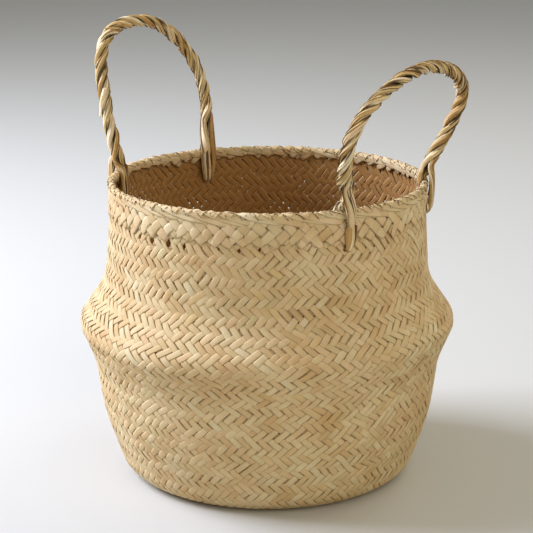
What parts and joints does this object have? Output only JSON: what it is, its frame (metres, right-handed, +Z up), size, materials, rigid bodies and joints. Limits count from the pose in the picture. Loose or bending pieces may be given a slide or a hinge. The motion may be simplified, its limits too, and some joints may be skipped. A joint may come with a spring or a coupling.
{
  "type": "seagrass storage basket",
  "caption": "Round plaited seagrass belly basket with a flat base, a rounded fold at mid-height, a folded rim collar and swinging twisted rope handles, for storage or as a planter cover.",
  "frame": {"origin": "middle of the flat underside, on the surface that the basket stands on", "axes": "+Z up out of the opening, +X towards the right handle (the near one in a view from the front right), +Y towards the back"},
  "size_m": [0.3308, 0.3308, 0.3929],
  "materials": {
    "plaited_seagrass": "matte",
    "collar_seagrass": "matte",
    "seagrass_rope": "satin"
  },
  "bodies": {
    "basket": {"woven_shell": "plaited_seagrass", "rim_collar": "collar_seagrass", "right_front_end_loop": "seagrass_rope", "right_back_end_loop": "seagrass_rope", "left_front_end_loop": "seagrass_rope", "left_back_end_loop": "seagrass_rope"},
    "right_handle": {"right_handle_ply_a": "seagrass_rope", "right_handle_ply_b": "seagrass_rope", "right_handle_ply_c": "seagrass_rope"},
    "left_handle": {"left_handle_ply_a": "seagrass_rope", "left_handle_ply_b": "seagrass_rope", "left_handle_ply_c": "seagrass_rope"}
  },
  "joints": [
    {"name": "right_handle_swing", "type": "hinge", "parent": "basket", "child": "right_handle", "pos_m": [0.11898, 0, 0.2725], "axis": [0, 1, 0], "range_deg": [-105, 67]},
    {"name": "left_handle_swing", "type": "hinge", "parent": "basket", "child": "left_handle", "pos_m": [-0.12219, 0.01284, 0.2725], "axis": [-0.1045, -0.9945, 0], "range_deg": [-103, 69]}
  ]
}
